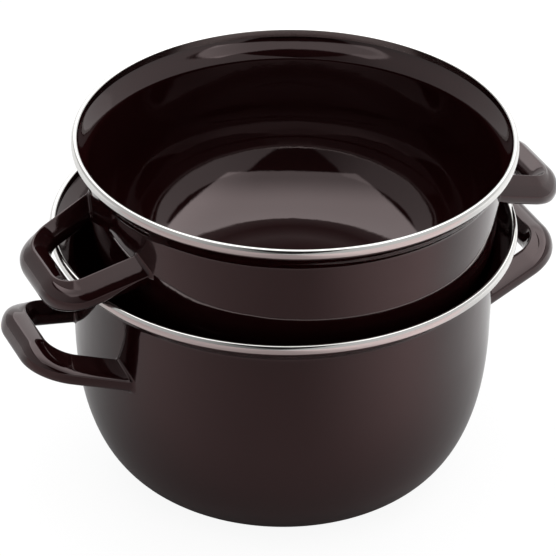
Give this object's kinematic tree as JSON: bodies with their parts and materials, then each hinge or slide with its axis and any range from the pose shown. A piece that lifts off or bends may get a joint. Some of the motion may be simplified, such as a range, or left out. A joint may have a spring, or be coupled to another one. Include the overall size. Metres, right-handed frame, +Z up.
{
  "type": "mussel pot",
  "caption": "Enamelled steel mussel pot with flared collar and side handles, its deep lid turned open side up as a shell bowl and hung in the mouth by its handles.",
  "frame": {"origin": "centre of the pot's flat base, on the surface it stands on", "axes": "+Z up along the pot's axis, +X through both pot handles"},
  "size_m": [0.307, 0.2466, 0.1971],
  "materials": {
    "enamel": "glossy vitreous enamel",
    "rim_steel": "polished stainless steel"
  },
  "bodies": {
    "pot": {"pot_shell": "enamel", "pot_rim": "rim_steel", "pot_handle_left": "enamel", "pot_handle_right": "enamel"},
    "lid": {"lid_bowl": "enamel", "lid_rim": "rim_steel", "lid_handle_left": "enamel", "lid_handle_right": "enamel"}
  },
  "joints": [
    {"name": "lid_lift", "type": "slide", "parent": "pot", "child": "lid", "axis": [0, 0, 1], "range_m": [0, 0.12]}
  ]
}
